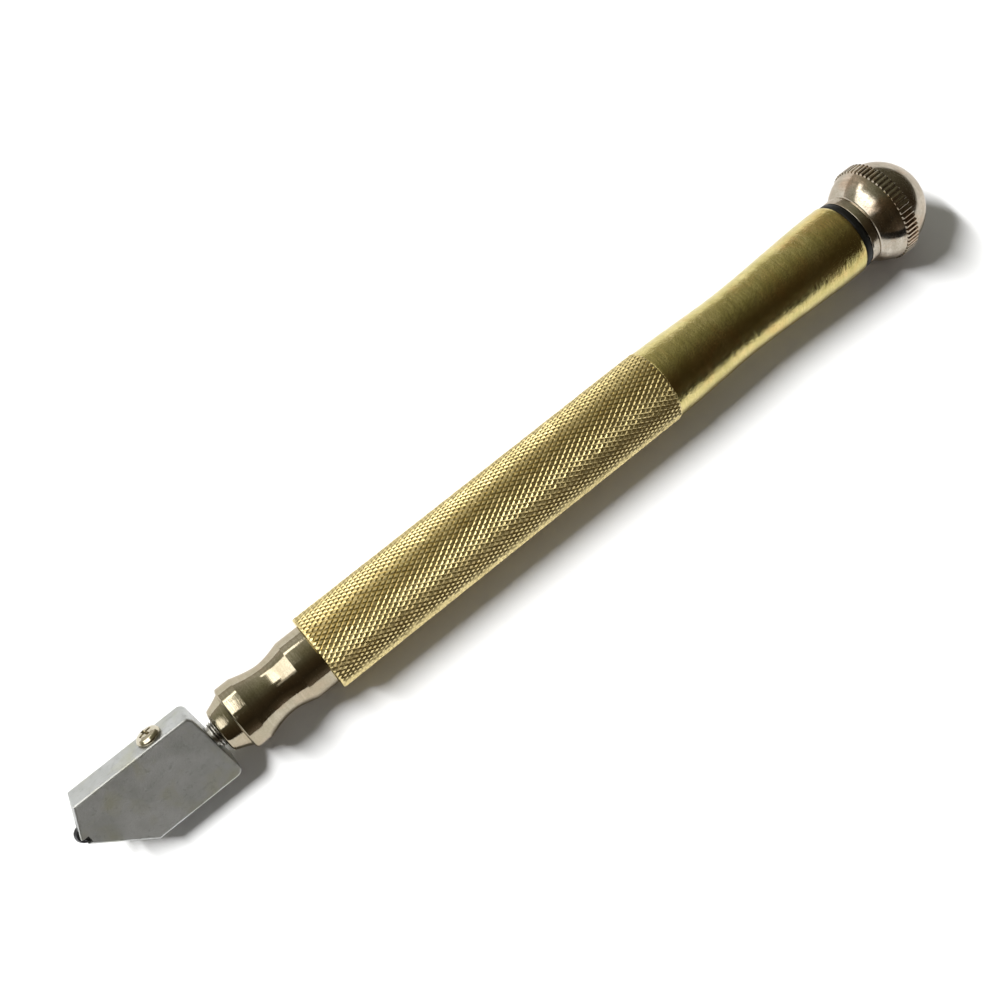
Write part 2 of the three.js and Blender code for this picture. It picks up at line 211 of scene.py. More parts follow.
def thread_wave(x0, x1, pitch, depth, fade):
    """Radius change of a right-handed thread between two stations, which fades at its ends."""
    def wave(x, a, r):
        if not x0 <= x <= x1:
            return r
        t = ((x - x0) / pitch - a / math.tau) % 1
        tooth = min(abs(2 * t - 1) * 1.6, 1)
        ease = min((x - x0) / fade, (x1 - x) / fade, 1)
        return r - depth * (1 - tooth) * max(ease, 0)
    return wave


def carved(name, base, cutters, bevel=None):
    """The base mesh with each cutter mesh taken away. A bevel is in millimetres."""
    obj = placed(name + "_work", base)
    helpers = []
    for k, cutter in enumerate(cutters):
        other = placed(f"{name}_cut_{k}", cutter)
        modifier = obj.modifiers.new(f"cut_{k}", "BOOLEAN")
        modifier.operation = "DIFFERENCE"
        modifier.solver = "EXACT"
        modifier.object = other
        helpers.append(other)
    if bevel:
        modifier = obj.modifiers.new("edge", "BEVEL")
        modifier.width = bevel * MM
        modifier.segments = 2
        modifier.limit_method = "ANGLE"
        modifier.angle_limit = math.radians(50)
    bpy.context.view_layer.update()
    graph = bpy.context.evaluated_depsgraph_get()
    mesh = bpy.data.meshes.new_from_object(obj.evaluated_get(graph), depsgraph=graph)
    mesh.name = name
    for other in [obj] + helpers:
        bpy.data.objects.remove(other)
    return mesh


def block(name, low, high):
    """A box in the head's axes, between two corners given as (station, y, z)."""
    xs, ys, zs = zip(low, high)
    points = [(sx(x), y * MM, z * MM) for x in xs for y in ys for z in zs]
    faces = [(0, 1, 3, 2), (4, 6, 7, 5), (0, 4, 5, 1), (2, 3, 7, 6), (0, 2, 6, 4), (1, 5, 7, 3)]
    return mesh_of(name, points, faces, HEAD)


# --------------------------------------------------------------- materials


def nodes_of(name):
    """A material, its tree, its shader and the object's own coordinates."""
    material = bpy.data.materials.new(name)
    material.use_nodes = True
    tree = material.node_tree
    tree.nodes.clear()
    out = tree.nodes.new("ShaderNodeOutputMaterial")
    shader = tree.nodes.new("ShaderNodeBsdfPrincipled")
    tree.links.new(shader.outputs["BSDF"], out.inputs["Surface"])
    coords = tree.nodes.new("ShaderNodeTexCoord").outputs["Object"]
    return material, tree, shader, coords


def mapped(tree, coords, scale, shift=(0, 0, 0)):
    node = tree.nodes.new("ShaderNodeMapping")
    node.inputs["Scale"].default_value = scale
    node.inputs["Location"].default_value = shift
    tree.links.new(coords, node.inputs["Vector"])
    return node.outputs["Vector"]


def noise(tree, vector, scale, detail=3, rough=0.55, distortion=0):
    """Noise with a scale in features per metre."""
    node = tree.nodes.new("ShaderNodeTexNoise")
    node.inputs["Scale"].default_value = scale
    node.inputs["Detail"].default_value = detail
    node.inputs["Roughness"].default_value = rough
    node.inputs["Distortion"].default_value = distortion
    tree.links.new(vector, node.inputs["Vector"])
    return node.outputs["Fac"]


def span(tree, value, low, high, to_low, to_high):
    """Maps low..high to to_low..to_high, clamped."""
    node = tree.nodes.new("ShaderNodeMapRange")
    node.inputs["From Min"].default_value = low
    node.inputs["From Max"].default_value = high
    node.inputs["To Min"].default_value = to_low
    node.inputs["To Max"].default_value = to_high
    tree.links.new(value, node.inputs["Value"])
    return node.outputs["Result"]


def ramp(tree, value, stops):
    node = tree.nodes.new("ShaderNodeValToRGB")
    ends = node.color_ramp.elements
    while len(ends) < len(stops):
        ends.new(0.5)
    for end, (place, colour) in zip(ends, stops):
        end.position = place
        end.color = (*colour, 1)
    tree.links.new(value, node.inputs["Fac"])
    return node.outputs["Color"]


def times(tree, a, b):
    node = tree.nodes.new("ShaderNodeMath")
    node.operation = "MULTIPLY"
    tree.links.new(a, node.inputs[0])
    tree.links.new(b, node.inputs[1])
    return node.outputs["Value"]


def blend(tree, factor, a, b):
    """Mixes two colours, each a tuple or a socket."""
    node = tree.nodes.new("ShaderNodeMix")
    node.data_type = "RGBA"
    tree.links.new(factor, node.inputs["Factor"])
    for name, value in (("A", a), ("B", b)):
        socket = [s for s in node.inputs if s.name == name and s.type == "RGBA"][0]
        if isinstance(value, tuple):
            socket.default_value = (*value, 1)
        else:
            tree.links.new(value, socket)
    return [s for s in node.outputs if s.type == "RGBA"][0]


def bump(tree, shader, layers):
    """Stacks bumps of (height socket, distance in mm, strength)."""
    normal = None
    for height, distance, strength in layers:
        node = tree.nodes.new("ShaderNodeBump")
        node.inputs["Distance"].default_value = distance * MM
        node.inputs["Strength"].default_value = strength
        tree.links.new(height, node.inputs["Height"])
        if normal is not None:
            tree.links.new(normal, node.inputs["Normal"])
        normal = node.outputs["Normal"]
    tree.links.new(normal, shader.inputs["Normal"])


def turned_metal(name, colour, dark, tint, rough, lines, pits, stain, edge):
    """Turned metal: rings of tool marks along X, small pits, uneven polish and warm stains.

    lines is the tool marks' (scale, depth in mm), pits is a depth in mm, stain is the share of
    dark in the clouds, and edge is the reflection's tint at a grazing angle.
    """
    material, tree, shader, coords = nodes_of(name)
    line_scale, line_depth = lines
    rings = noise(tree, mapped(tree, coords, (1, 0.02, 0.02)), line_scale, 3, 0.7)
    broad = noise(tree, mapped(tree, coords, (1, 0.06, 0.06)), line_scale * 0.15, 3, 0.6)
    cloud = noise(tree, coords, 260, 4, 0.6)
    patch = noise(tree, mapped(tree, coords, (1, 0.5, 0.5)), 900, 3, 0.6)
    fine = noise(tree, coords, 4200, 3, 0.6)
    warm = noise(tree, mapped(tree, coords, (1, 1, 1), (0.4, 0.2, 0.1)), 150, 3, 0.6, 0.5)
    shade = blend(tree, span(tree, cloud, 0.35, 0.7, 0, stain), colour, dark)
    shade = blend(tree, span(tree, warm, 0.5, 0.7, 0, 0.6), shade, tint)
    shade = blend(tree, span(tree, rings, 0.35, 0.65, 0, 0.45), shade, dark)
    shade = blend(tree, span(tree, patch, 0.5, 0.75, 0, 0.5), shade, dark)
    shade = blend(tree, span(tree, fine, 0.45, 0.65, 0, 0.6), shade, dark)
    tree.links.new(shade, shader.inputs["Base Color"])
    shader.inputs["Metallic"].default_value = 1
    shader.inputs["Specular Tint"].default_value = (*edge, 1)
    polish = times(tree, span(tree, cloud, 0.3, 0.7, 0.8, 1.3), span(tree, patch, 0.3, 0.7, *rough))
    tree.links.new(polish, shader.inputs["Roughness"])
    bump(tree, shader, [(broad, line_depth * 3, 0.5), (rings, line_depth, 1),
                        (patch, pits * 4, 0.5), (fine, pits, 0.6)])
    return material


def plain_metal(name, colour, dark, rough, grain=900, relief=0.006):
    """Small metal parts: a cloudy colour, uneven polish and a grain of a depth in mm."""
    material, tree, shader, coords = nodes_of(name)
    cloud = noise(tree, coords, 330, 4, 0.6)
    fine = noise(tree, coords, grain * 4, 3, 0.6)
    tree.links.new(blend(tree, span(tree, cloud, 0.3, 0.75, 0, 0.6), colour, dark),
                   shader.inputs["Base Color"])
    shader.inputs["Metallic"].default_value = 1
    tree.links.new(span(tree, cloud, 0.3, 0.7, *rough), shader.inputs["Roughness"])
    bump(tree, shader, [(fine, relief, 0.8)])
    return material


def head_metal():
    """Satin plate: cool grey, mottled with faint green and dark stains, fine pits and nicks."""
    material, tree, shader, coords = nodes_of("head_satin")
    large = noise(tree, coords, 170, 4, 0.6, 0.4)
    small = noise(tree, coords, 900, 4, 0.65)
    green = noise(tree, mapped(tree, coords, (1, 1, 1), (0.3, 0.1, 0.7)), 230, 3, 0.5, 0.3)
    base = blend(tree, span(tree, large, 0.35, 0.65, 0, 1), (0.52, 0.53, 0.53), (0.40, 0.41, 0.40))
    base = blend(tree, span(tree, green, 0.5, 0.72, 0, 0.7), base, (0.43, 0.43, 0.33))
    base = blend(tree, span(tree, small, 0.55, 0.72, 0, 0.5), base, (0.26, 0.26, 0.25))
    tree.links.new(base, shader.inputs["Base Color"])
    shader.inputs["Metallic"].default_value = 1
    tree.links.new(span(tree, small, 0.3, 0.7, 0.34, 0.46), shader.inputs["Roughness"])
    pits = noise(tree, coords, 2600, 3, 0.7)
    bump(tree, shader, [(small, 0.03, 0.5), (pits, 0.035, 0.9)])
    return material


def rubber():
    material, tree, shader, coords = nodes_of("black_rubber")
    grain = noise(tree, coords, 2600, 3, 0.6)
    tree.links.new(ramp(tree, grain, [(0.3, (0.006, 0.006, 0.006)), (0.8, (0.02, 0.02, 0.019))]),
                   shader.inputs["Base Color"])
    tree.links.new(span(tree, grain, 0.3, 0.7, 0.35, 0.6), shader.inputs["Roughness"])
    shader.inputs["Specular IOR Level"].default_value = 0.25
    bump(tree, shader, [(grain, 0.01, 0.6)])
    return material


def cotton():
    material, tree, shader, coords = nodes_of("cotton_wick")
    fibre = noise(tree, mapped(tree, coords, (0.15, 1, 1)), 6000, 4, 0.7)
    tree.links.new(ramp(tree, fibre, [(0.25, (0.62, 0.57, 0.44)), (0.75, (0.86, 0.83, 0.72))]),
                   shader.inputs["Base Color"])
    shader.inputs["Roughness"].default_value = 0.95
    shader.inputs["Sheen Weight"].default_value = 0.3
    bump(tree, shader, [(fibre, 0.05, 1)])
    return material


NICKEL = turned_metal(
    "bright_nickel", (0.52, 0.47, 0.37), (0.34, 0.30, 0.21), (0.50, 0.36, 0.25),
    rough=(0.05, 0.12), lines=(2600, 0.011), pits=0.006, stain=0.6, edge=(0.8, 0.75, 0.7))
BALL_NICKEL = turned_metal(
    "ball_nickel", (0.66, 0.61, 0.53), (0.28, 0.24, 0.18), (0.66, 0.40, 0.24),
    rough=(0.11, 0.19), lines=(1500, 0.004), pits=0.007, stain=0.65, edge=(0.8, 0.75, 0.7))
BRASS = turned_metal(
    "turned_brass", (0.82, 0.70, 0.34), (0.46, 0.40, 0.13), (0.80, 0.46, 0.18),
    rough=(0.12, 0.20), lines=(5200, 0.022), pits=0.060, stain=0.7, edge=(0.97, 0.94, 0.86))
KNURL = plain_metal("knurled_brass", (0.84, 0.70, 0.35), (0.58, 0.46, 0.20), (0.26, 0.36))
VALVE_BRASS = plain_metal("valve_brass", (0.76, 0.60, 0.30), (0.55, 0.42, 0.18), (0.25, 0.4))
STEEL = plain_metal("turned_steel", (0.46, 0.45, 0.42), (0.28, 0.27, 0.25), (0.22, 0.34))
SPRING = plain_metal("spring_steel", (0.45, 0.44, 0.42), (0.28, 0.27, 0.26), (0.3, 0.42))
SCREW = plain_metal(
    "screw_plate", (0.62, 0.57, 0.45), (0.34, 0.30, 0.22), (0.14, 0.24), grain=600, relief=0.01)
PIN = plain_metal("blackened_pin", (0.07, 0.07, 0.07), (0.03, 0.03, 0.03), (0.35, 0.5))
CARBIDE = plain_metal("wheel_carbide", (0.10, 0.10, 0.11), (0.05, 0.05, 0.055), (0.3, 0.45))
HEAD_METAL = head_metal()
RUBBER = rubber()
WICK = cotton()

# ------------------------------------------------------------------- head

HALF_W, HALF_T = 6.5, 2.7  # half the head's width and thickness
REAR = (23.85, 22.75)  # stations of the rear face at its two ends: it leans
CORNER_R, CORNER_STEPS = 1.1, 8
NOSE = [(2.4, HALF_W), (0.1, 1.45), (0.5, 0.3)]
BEVEL_FROM = (8.4, -HALF_W)
RIM_BEVEL, UPRIGHT_BEVEL = 0.33, 0.12


def head_outline():
    lean = math.atan2(REAR[0] - REAR[1], 2 * HALF_W)
    reach = REAR[0] * math.cos(lean) - HALF_W * math.sin(lean) - CORNER_R
    outline = [BEVEL_FROM]
    for cy, start, stop in ((CORNER_R - HALF_W, -math.pi / 2, lean),
                            (HALF_W - CORNER_R, lean, math.pi / 2)):
        cx = (reach - cy * math.sin(lean)) / math.cos(lean)
        for k in range(CORNER_STEPS + 1):
            a = start + (stop - start) * k / CORNER_STEPS
            outline.append((cx + CORNER_R * math.cos(a), cy + CORNER_R * math.sin(a)))
    return outline + NOSE


def head_plate():
    """The outline as a plate, its rims and upright edges broken by small bevels."""
    outline = head_outline()
    n = len(outline)
    points = [(sx(x), y * MM, z * MM) for z in (-HALF_T, HALF_T) for x, y in outline]
    faces = [tuple(range(n))[::-1], tuple(range(n, 2 * n))]
    faces += [(k, (k + 1) % n, n + (k + 1) % n, n + k) for k in range(n)]
    mesh = mesh_of("head_plate", points, faces, HEAD)
    bm = bmesh.new()
    bm.from_mesh(mesh)

    def rise(edge):
        a, b = (HEAD.inverted() @ v.co for v in edge.verts)
        return abs(a.z - b.z)

    rims = [edge for edge in bm.edges if rise(edge) < 1e-6]
    bmesh.ops.bevel(bm, geom=rims, offset=RIM_BEVEL * MM, segments=2, profile=0.5,
                    affect="EDGES")
    upright = [edge for edge in bm.edges
               if rise(edge) > 3 * MM and edge.calc_face_angle(0) > math.radians(25)]
    bmesh.ops.bevel(bm, geom=upright, offset=UPRIGHT_BEVEL * MM, segments=2, profile=0.6,
                    affect="EDGES")
    bm.to_mesh(mesh)
    bm.free()
    return mesh


WHEEL_AT, WHEEL_R, WHEEL_HALF_T = (0.85, 0.75), 1.7, 0.55
GRIND = 0.36  # depth of the wheel's ground edge
SCREW_AT = 16.4  # station of the lock screw


def across(x, r, a):
    """Place for a turned piece whose axis is the head's thickness, at the wheel."""
    return (sx(WHEEL_AT[0]) + r * MM * math.cos(a), (WHEEL_AT[1] + r * math.sin(a)) * MM, x * MM)


def edgeways(x, r, a):
    """Place for a turned piece whose axis is the lock screw's."""
    return (sx(SCREW_AT) + r * MM * math.sin(a), x * MM, r * MM * math.cos(a))


def head_body():
    past = HALF_T + 1
    cutters = [
        block("slot", (-2, -1.6, -0.65), (3.6, 3.1, 0.65)),
        block("notch", (-2, 0.3, -past), (1.3, 1.4, past)),
        turned("axle_hole", [(-past, 0), (-past, 0.53), (1.75, 0.53), (1.75, 0)], 48,
               matrix=HEAD, place=across),
        turned("stem_bore", [(13.5, 0), (13.5, 1.87), (25, 1.87), (25, 0)], 64, matrix=HEAD),
        turned("oil_way", [(3.3, 0), (3.3, 1), (13.6, 1), (13.6, 0)], 40, matrix=HEAD),
        turned("screw_hole", [(0.5, 0), (0.5, 1.13), (6.2, 1.13), (6.9, 1.7), (6.9, 0)], 48,
               matrix=HEAD, place=edgeways),
    ]
    return carved("head_body_shape", head_plate(), cutters)


piece("head_plate", head_body(), HEAD_METAL, "head", "head_body", 14)

wheel = fillet([
    (-WHEEL_HALF_T, 0.55), (-WHEEL_HALF_T, WHEEL_R - GRIND, 0.05), (0, WHEEL_R),
    (WHEEL_HALF_T, WHEEL_R - GRIND, 0.05), (WHEEL_HALF_T, 0.55),
])
piece("wheel_disc", turned("wheel_disc", wheel, 160, matrix=HEAD, place=across),
      CARBIDE, "wheel", "cutting_wheel", 20)
axle = fillet([
    (-2.6, 0), (-2.6, 0.38, 0.05), (-2.48, 0.5, 0.05), (1.58, 0.5), (1.7, 0.38), (1.7, 0),
])
piece("axle_pin", turned("axle_pin", axle, 64, matrix=HEAD, place=across),
      PIN, "head", "wheel_axle")


def lock_screw():
    """A pan-head screw with a cross recess, whose two arms are tapered cutters."""
    seat = 6.53
    top = seat + 1.15
    profile = fillet([
        (1.45, 0), (1.45, 0.8, 0.1), (2.05, 0.8), (2.3, 1.05), (seat, 1.05), (seat, 2, 0.12),
        (seat + 0.42, 2, 0.3), (seat + 0.85, 1.66, 0.5), (seat + 1.07, 1.0, 0.4),
        (top, 0.3), (top, 0),
    ], 5)
    base = turned("screw_blank", profile, 96, matrix=HEAD, place=edgeways)
    recess_turn = Matrix.Rotation(math.radians(20), 4, "Y")
    centre = Matrix.Translation((sx(SCREW_AT), 0, 0))
    turn = HEAD @ (centre @ recess_turn) @ centre.inverted()
    faces = [(3, 2, 1, 0), (4, 5, 6, 7)]
    faces += [(i, (i + 1) % 4, 4 + (i + 1) % 4, 4 + i) for i in range(4)]
    cutters = []
    for k, (half_x, half_z) in enumerate(((1.12, 0.27), (0.27, 1.12))):
        points = []
        for y, grow in ((top - 0.75, 0.72), (top + 0.4, 1.15)):
            for a, b in ((-1, -1), (1, -1), (1, 1), (-1, 1)):
                points.append((sx(SCREW_AT) + a * half_x * grow * MM, y * MM,
                               b * half_z * grow * MM))
        cutters.append(mesh_of(f"recess_{k}", points, faces, turn))
    return carved("lock_screw_shape", base, cutters, bevel=0.05)


piece("lock_screw_head", lock_screw(), SCREW, "lock", "lock_screw", 35)

# -------------------------------------------------------------------- stem


def valve_stem():
    """The grooved spigot, the threaded neck, the spring's flange and the valve's rod."""
    thread_from, thread_to, thread_r = 23.6, 26.3, 2.2
    profile = fillet([
        (13.6, 0.8), (13.6, 1.6), (13.8, 1.8), (15.1, 1.8), (15.1, 1.2), (17.7, 1.2),
        (17.7, 1.8), (thread_from, 1.8), (thread_from, 1.95),
    ])
    profile += spread_between((thread_from + 0.02, thread_r), (thread_to, thread_r), 90)
    profile += fillet([
        (thread_to, thread_r), (thread_to + 0.1, 2.15), (31.5, 2.15), (31.5, 3.1, 0.15),
        (32.7, 3.1, 0.15), (32.7, 1.85), (35.4, 1.85), (35.9, 1.3), (54.7, 1.3), (54.9, 1.1),
        (54.9, 0),
    ])
    wave = thread_wave(thread_from, thread_to, pitch=0.42, depth=0.34, fade=0.1)
    return turned("valve_stem_shape", profile, 72, wave)


piece("threaded_stem", valve_stem(), STEEL, "stem", "valve_stem", 40)

# ----------------------------------------------------------- return spring

COILS = 7
COIL_R, WIRE_R = 2.5, 0.3
COIL_FROM, COIL_TO = 33.08, 46.82


def coil_spring():
    """Touching turns at both ends and an even pitch between them."""
    steps, sides = COILS * 36, 12
    first, last = COIL_FROM + WIRE_R, COIL_TO - WIRE_R
    end, closed = 1 / COILS, 2.2 * WIRE_R / (last - first)
    points = []
    for i in range(steps + 1):
        t = i / steps
        share = closed + (t - end) * (1 - 2 * closed) / (1 - 2 * end)
        if t < end:
            share = closed * t / end
        elif t > 1 - end:
            share = 1 - closed * (1 - t) / end
        a = t * COILS * math.tau
        for k in range(sides):
            b = math.tau * k / sides
            x = first + share * (last - first) + WIRE_R * math.sin(b)
            points.append(along_tool(x, COIL_R + WIRE_R * math.cos(b), a))
    faces = [tuple(range(sides)), tuple(range(steps * sides, (steps + 1) * sides))]
    for i in range(steps):
        for k in range(sides):
            low, high, n = i * sides, (i + 1) * sides, (k + 1) % sides
            faces.append((low + k, low + n, high + n, high + k))
    return mesh_of("coil_spring_shape", points, faces)


# The spring rides on the stem and gets a mesh of its own
coil = piece("coil_spring", coil_spring(), SPRING, "stem", "return_spring", 50)
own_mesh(coil)

# --------------------------------------------------------------- nose piece

COLLAR_END, WAIST_END = (30.2, 5.45), (38.9, 5.28)
WAIST_MID, WAIST_R = 34.9, 4.47
WAIST_STEPS = 40


def waist(x):
    """Radius of the nose piece's waist, from its narrowest point to a collar on either side."""
    edge_x, edge_r = COLLAR_END if x < WAIST_MID else WAIST_END
    t = (x - WAIST_MID) / (edge_x - WAIST_MID)
    return WAIST_R + (edge_r - WAIST_R) * t * t * (1.55 - 0.55 * t)


def nose_profile():
    """Front lip, cone, collar, waist and rear collar, then the spigot and the valve's bore."""
    front = [(24.57, 2.25), (24.57, 3.1, 0.12), (24.8, 3.62, 0.25), (25.4, 3.86), (25.9, 4.05),
             (26.4, 4.27), (26.9, 4.5), (27.4, 4.76), (27.48, 5.15, 0.12), (27.72, 5.45, 0.16),
             (*COLLAR_END, 0.03)]
    length = 8.7
    stations = [COLLAR_END[0] + length * k / WAIST_STEPS for k in range(1, WAIST_STEPS)]
    rear = [(*WAIST_END, 0.05), (42.98, 5.28, 0.12), (43.0, 4.55), (44.1, 4.55), (44.1, 3.95),
            (45.1, 3.95), (45.1, 4.55), (51.7, 4.55), (52, 4.25), (52, 3.8), (46.4, 3.8),
            (46.4, 3.3), (31.4, 3.3), (31.4, 2.25), (29.2, 2.25), (29.2, 3.15), (28, 3.15),
            (28, 2.25)]
    return front + [(x, waist(x)) for x in stations] + rear


piece("nose_shell", turned("nose_shell", fillet(nose_profile(), 5), 160), NICKEL,
      "handle", "nose_piece", 24)

# ------------------------------------------------------------------ barrel

KNURL_FROM, KNURL_TO, KNURL_R = 43.02, 111.2, 6.5
KNURL_DEPTH = 0.15
KNURL_AROUND = 48  # diamonds round the barrel
KNURL_AXIAL = 1.5  # length of a diamond
KNURL_FLAT, KNURL_FLAT_SPREAD = 0.45, 0.06  # share of a diamond that is flat on top
KNURL_WEAR = 0.035
KNURL_TRIM = 0.03
CORE_R = KNURL_R - KNURL_DEPTH - 0.01  # the barrel under the knurl
TAIL = [(112, 6.33), (116, 6.24), (121, 6.02), (127, 5.8), (133, 5.88), (140, 6.16),
        (147, 6.42), (151.6, 6.42)]  # the plain waisted end
SCORED_MARKS, SCORE_DEPTH, SCORE_HALF = (128.4, 138.3), 0.03, 0.15

rng = random.Random(7)


def smooth_line(knots, count):
    """Catmull-Rom points through the knots."""
    out = []
    for i in range(len(knots) - 1):
        p = [knots[min(max(k, 0), len(knots) - 1)] for k in (i - 1, i, i + 1, i + 2)]
        for s in range(count):
            t = s / count
            out.append(tuple(
                0.5 * (2 * p[1][c] + (p[2][c] - p[0][c]) * t
                       + (2 * p[0][c] - 5 * p[1][c] + 4 * p[2][c] - p[3][c]) * t * t
                       + (3 * p[1][c] - p[0][c] - 3 * p[2][c] + p[3][c]) * t ** 3)
                for c in (0, 1)))
    return out + [knots[-1]]


def barrel_profile():
    """The core under the knurl, the plain end with two scored rings, then the bore."""
    tail = smooth_line(TAIL, 10)
    for mark in SCORED_MARKS:
        near = min(range(len(tail)), key=lambda k: abs(tail[k][0] - mark))
        r = tail[near][1]
        tail[near:near + 1] = [(mark - SCORE_HALF, r), (mark, r - SCORE_DEPTH),
                               (mark + SCORE_HALF, r)]
    front = [(KNURL_FROM, 4.65), (KNURL_FROM, CORE_R, 0.05), (KNURL_FROM + 0.1, CORE_R),
             (KNURL_TO, CORE_R), (KNURL_TO + 0.02, 6.36, 0.03)]
    bore = [(152.1, 6.15, 0.1), (152.1, 4.7), (145, 4.7), (145, 4.85), (53, 4.85), (53, 4.65)]
    return front + tail + bore


piece("barrel_tube", turned("barrel_tube", fillet(barrel_profile(), 4), 192), BRASS,
      "handle", "barrel", 30)


def knurl():
    """Rolled diamonds: flat-topped pyramids on a staggered lattice, fading at both ends."""
    rows = int((KNURL_TO - KNURL_FROM) / KNURL_AXIAL * 2) + 3
    points, faces, at = [], [], {}

    def vertex(key, u, v, r):
        if key not in at:
            x = KNURL_FROM - 0.4 + v * KNURL_AXIAL
            from_end = max(min(x - KNURL_FROM, KNURL_TO - x), 0)
            at[key] = len(points)
            points.append(along_tool(x, min(r, CORE_R + from_end * 1.1),
                                     math.tau * u / KNURL_AROUND))
        return at[key]

    for j in range(rows):
        for i in range(KNURL_AROUND):
            u, v = i + (0.5 if j % 2 else 0), j / 2
            top = KNURL_R - rng.uniform(0, KNURL_WEAR)
            flat = KNURL_FLAT + rng.uniform(-KNURL_FLAT_SPREAD, KNURL_FLAT_SPREAD)
            corners, tops = [], []
            for k, (du, dv) in enumerate(((0.5, 0), (0, 0.5), (-0.5, 0), (0, -0.5))):
                key = (round(2 * (u + du)) % (2 * KNURL_AROUND), round(2 * (v + dv)))
                corners.append(vertex(key, u + du, v + dv, KNURL_R - KNURL_DEPTH))
                tops.append(vertex((j, i, k), u + du * flat, v + dv * flat, top))
            for k in range(4):
                n = (k + 1) % 4
                faces.append((corners[k], corners[n], tops[n], tops[k]))
            faces.append(tuple(tops))
    mesh = mesh_of("knurl", points, faces)
    bm = bmesh.new()
    bm.from_mesh(mesh)
    for x, side in ((KNURL_FROM + KNURL_TRIM, -1), (KNURL_TO - KNURL_TRIM, 1)):
        bmesh.ops.bisect_plane(bm, geom=bm.verts[:] + bm.edges[:] + bm.faces[:],
                               plane_co=(sx(x), 0, 0), plane_no=(side, 0, 0), clear_outer=True)
    bm.to_mesh(mesh)
    bm.free()
    return mesh


piece("knurled_grip", knurl(), KNURL, "handle", "barrel", 12)

# --------------------------------------------------------------------- cap

TEETH = 60
BAND = (158.85, 161.35)  # stations of the toothed band
BAND_R, GROOVE_R = 8.6, 8.18
BAND_FRONT_R, BAND_REAR_R = 8.31, 8.04  # where the band's rounded edges begin
EDGE_STEPS, EDGE_LENGTH = 8, 0.16
TOOTH_HALF, TOOTH_FLANK = 0.34, 0.10  # shares of a tooth's pitch
BALL_C, BALL_R, DOME_C, DOME_R = 161.1, 8.62, 160.1, 8.15
NECK_R = 6.2
CAP_THREAD = (147.6, 151.9)
CAP_THREAD_R = 4.6


def arc(centre, radius, start, stop, count):
    """Points on a circle about the axis, between two stations."""
    a0 = math.acos(max(min((centre - start) / radius, 1), -1))
    a1 = math.acos(max(min((centre - stop) / radius, 1), -1))
    return [(centre - radius * math.cos(a0 + (a1 - a0) * k / count),
             radius * math.sin(a0 + (a1 - a0) * k / count)) for k in range(count + 1)]


def cap():
    """The screwed spigot, the neck, the ball with its toothed band, and the dome."""
    neck_end = BALL_C - math.sqrt(BALL_R ** 2 - NECK_R ** 2)
    thread_from, thread_to = CAP_THREAD
    profile = [(147.1, 0)]
    profile += fillet([(147.1, 3.9), (147.1, 4.2, 0.1), (147.5, CAP_THREAD_R, 0.1),
                       (thread_from, CAP_THREAD_R)])
    profile += spread_between((thread_from, CAP_THREAD_R), (thread_to, CAP_THREAD_R), 70)
    profile += fillet([(thread_to, CAP_THREAD_R), (153.42, CAP_THREAD_R, 0.1),
                       (153.42, NECK_R - 0.05, 0.12), (153.7, NECK_R),
                       (neck_end - 0.3, NECK_R + 0.03, 0.1),
                       (neck_end - 0.02, NECK_R - 0.12, 0.02)])
    profile += arc(BALL_C, BALL_R, neck_end + 0.03, BAND[0], 22)
    eases = [k / EDGE_STEPS for k in range(EDGE_STEPS + 1)]
    profile += [(BAND[0] + 0.001 + EDGE_LENGTH * t,
                 BAND_FRONT_R + (BAND_R - BAND_FRONT_R) * math.sin(t * math.pi / 2))
                for t in eases]
    profile += spread_between((BAND[0] + 0.2, BAND_R), (BAND[1] - 0.2, BAND_R), 4)
    profile += [(BAND[1] - 0.17 + EDGE_LENGTH * t,
                 BAND_REAR_R + (BAND_R - BAND_REAR_R) * math.cos(t * math.pi / 2))
                for t in eases]
    dome = arc(DOME_C, DOME_R, BAND[1] + 0.01, DOME_C + DOME_R, 34)
    profile += dome[:-1] + [(DOME_C + DOME_R, 0)]
    screw = thread_wave(thread_from, thread_to, pitch=1.0, depth=0.45, fade=0.4)

    def wave(x, a, r):
        if x < 152:
            return screw(x, a, r)
        if BAND[0] < x < BAND[1]:
            t = (a / math.tau * TEETH + 0.5) % 1
            crest = min(max((TOOTH_HALF - abs(t - 0.5)) / TOOTH_FLANK, 0), 1)
            return min(r, GROOVE_R + (BAND_R - GROOVE_R) * crest)
        return r

    return turned("cap_shape", profile, TEETH * 12, wave)


piece("ball_cap", cap(), BALL_NICKEL, "cap", "cap_ball", 30)

ring = fillet([(152.12, 5.4), (152.12, 6.2, 0.5), (153.4, 6.2, 0.5), (153.4, 4.65, 0.45),
               (152.12, 4.65, 0.45), (152.12, 5.39)], 6)
piece("cap_ring", turned("cap_ring", ring, 128), RUBBER, "cap_seal", "cap_o_ring", 60)

# ------------------------------------------------- CAD nodes that stay shown

KEPT = {
    "oil_wick": WICK, "stem_wick": WICK, "stem_seal": RUBBER, "nose_seal": RUBBER,
    "seat_gasket": RUBBER, "valve_disc": RUBBER, "spring_washer": STEEL, "disc_washer": STEEL,
    "valve_seat": VALVE_BRASS, "valve_nut": VALVE_BRASS,
}
for node, material in KEPT.items():
    obj = frame["nodes"][node]
    if not obj.material_slots:
        obj.data.materials.append(material)
    for material_slot in obj.material_slots:
        material_slot.link = "OBJECT"
        material_slot.material = material

# ------------------------------------------------------------------- stage

FLOOR_HALF = 2.2
FLOOR_GAP = 0.00002
HEAD_FOOT, HEAD_FOOT_DROP = 8.6, 6.38  # where the head's lowest edge is, below the axis
CARD_LOW, CARD_HIGH = (0.015, -0.052, -0.002), (0.085, -0.050, 0.016)


